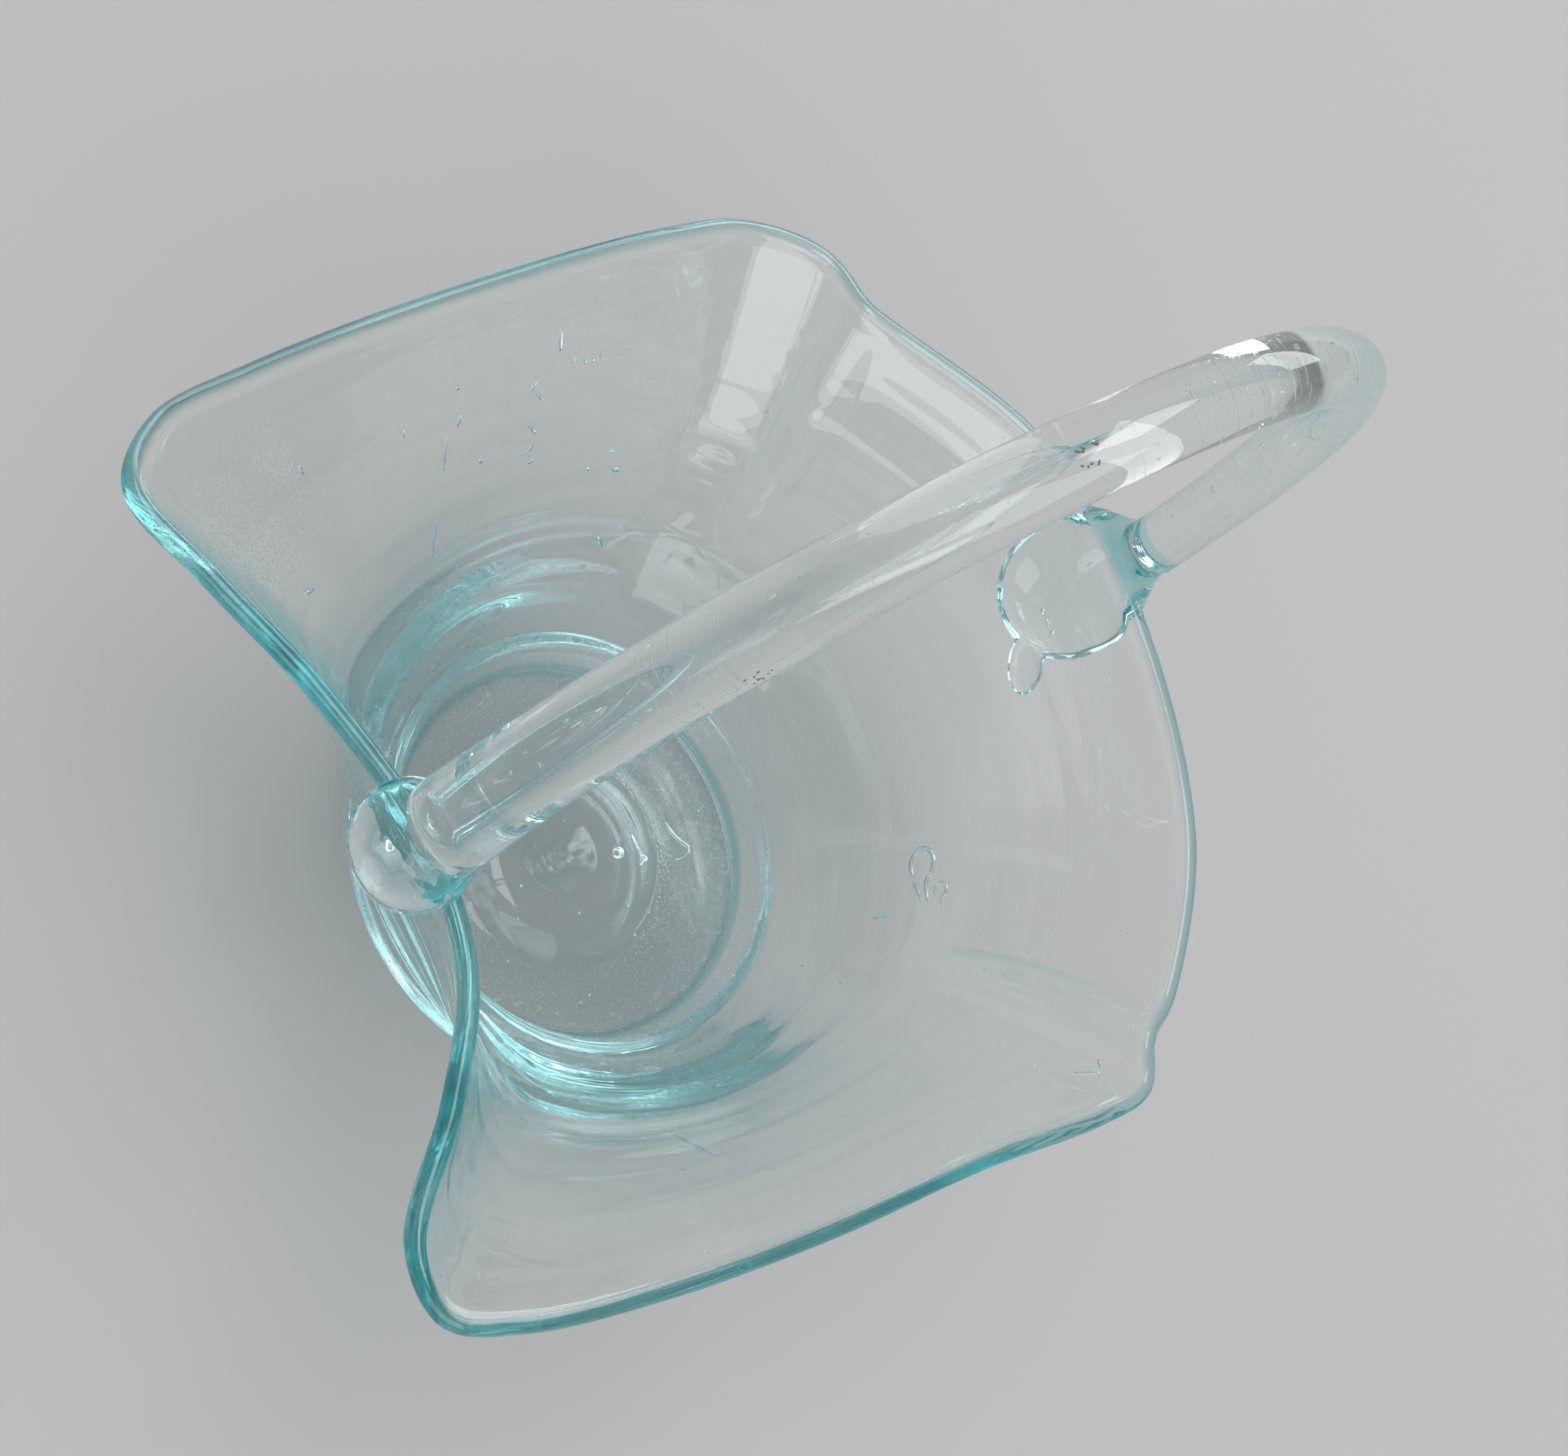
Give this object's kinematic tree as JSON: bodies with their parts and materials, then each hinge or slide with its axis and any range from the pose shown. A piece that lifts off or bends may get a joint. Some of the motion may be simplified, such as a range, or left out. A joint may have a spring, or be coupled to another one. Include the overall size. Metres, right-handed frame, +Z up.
{
  "type": "glass basket",
  "caption": "Free-blown clear glass basket: a lobed, flared bowl on a thick foot, with one drawn glass rod arching over it as the handle.",
  "frame": {"origin": "centre of the footprint box, at the level of the flat ring that the basket stands on", "axes": "+Z up towards the top of the handle; +X from the handle's folded end to its pressed end; +Y across the handle, towards the rim's higher long side"},
  "size_m": [0.1714, 0.1578, 0.2096],
  "materials": {
    "bowl_glass": "clear, fire-polished, aqua where thick",
    "rod_glass": "clear, solid, fire-polished",
    "root_glass": "clear, aqua where it fans out",
    "scar_glass": "rough, cracked off"
  },
  "bodies": {
    "root": {"bowl": "bowl_glass", "handle_rod": "rod_glass", "handle_folded_end": "rod_glass", "handle_pressed_root": "root_glass", "pontil_scar": "scar_glass"}
  },
  "joints": []
}
